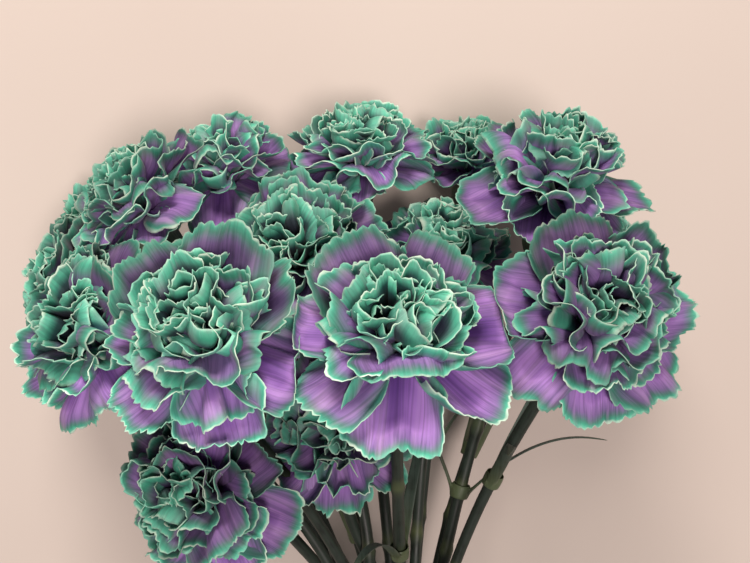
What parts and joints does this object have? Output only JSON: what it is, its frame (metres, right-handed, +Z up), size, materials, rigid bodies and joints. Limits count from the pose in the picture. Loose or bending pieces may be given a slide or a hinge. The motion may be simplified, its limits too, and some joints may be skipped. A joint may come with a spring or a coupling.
{
  "type": "bunch of carnations",
  "caption": "Bunch of frilled carnations with violet petals edged in mint green, stems held by an elastic band, lying on its side.",
  "frame": {"origin": "on the surface the bunch lies on, under the middle of the bounding box", "axes": "+Y along the bunch from the cut ends of the stems to the flowers, +Z up, +X across the bunch"},
  "size_m": [0.3342, 0.4498, 0.218],
  "materials": {
    "petals": "matte",
    "calyx": "satin",
    "stem": "satin",
    "leaf": "satin",
    "band": "matte"
  },
  "bodies": {
    "root": {"petals_01": "petals", "calyx_01": "calyx", "stem_01": "stem", "petals_02": "petals", "calyx_02": "calyx", "stem_02": "stem", "petals_03": "petals", "calyx_03": "calyx", "stem_03": "stem", "petals_04": "petals", "calyx_04": "calyx", "stem_04": "stem", "petals_05": "petals", "calyx_05": "calyx", "stem_05": "stem", "petals_06": "petals", "calyx_06": "calyx", "stem_06": "stem", "petals_07": "petals", "calyx_07": "calyx", "stem_07": "stem", "petals_08": "petals", "calyx_08": "calyx", "stem_08": "stem", "petals_09": "petals", "calyx_09": "calyx", "stem_09": "stem", "petals_10": "petals", "calyx_10": "calyx", "stem_10": "stem", "petals_11": "petals", "calyx_11": "calyx", "stem_11": "stem", "petals_12": "petals", "calyx_12": "calyx", "stem_12": "stem", "petals_13": "petals", "calyx_13": "calyx", "stem_13": "stem", "petals_14": "petals", "calyx_14": "calyx", "stem_14": "stem", "petals_15": "petals", "calyx_15": "calyx", "stem_15": "stem", "petals_16": "petals", "calyx_16": "calyx", "stem_16": "stem", "leaf_pair_01": "leaf", "leaf_pair_02": "leaf", "leaf_pair_03": "leaf", "leaf_pair_04": "leaf", "leaf_pair_05": "leaf", "leaf_pair_06": "leaf", "leaf_pair_07": "leaf", "leaf_pair_08": "leaf", "leaf_pair_09": "leaf", "leaf_pair_10": "leaf", "leaf_pair_11": "leaf", "rubber_band": "band"}
  },
  "joints": []
}
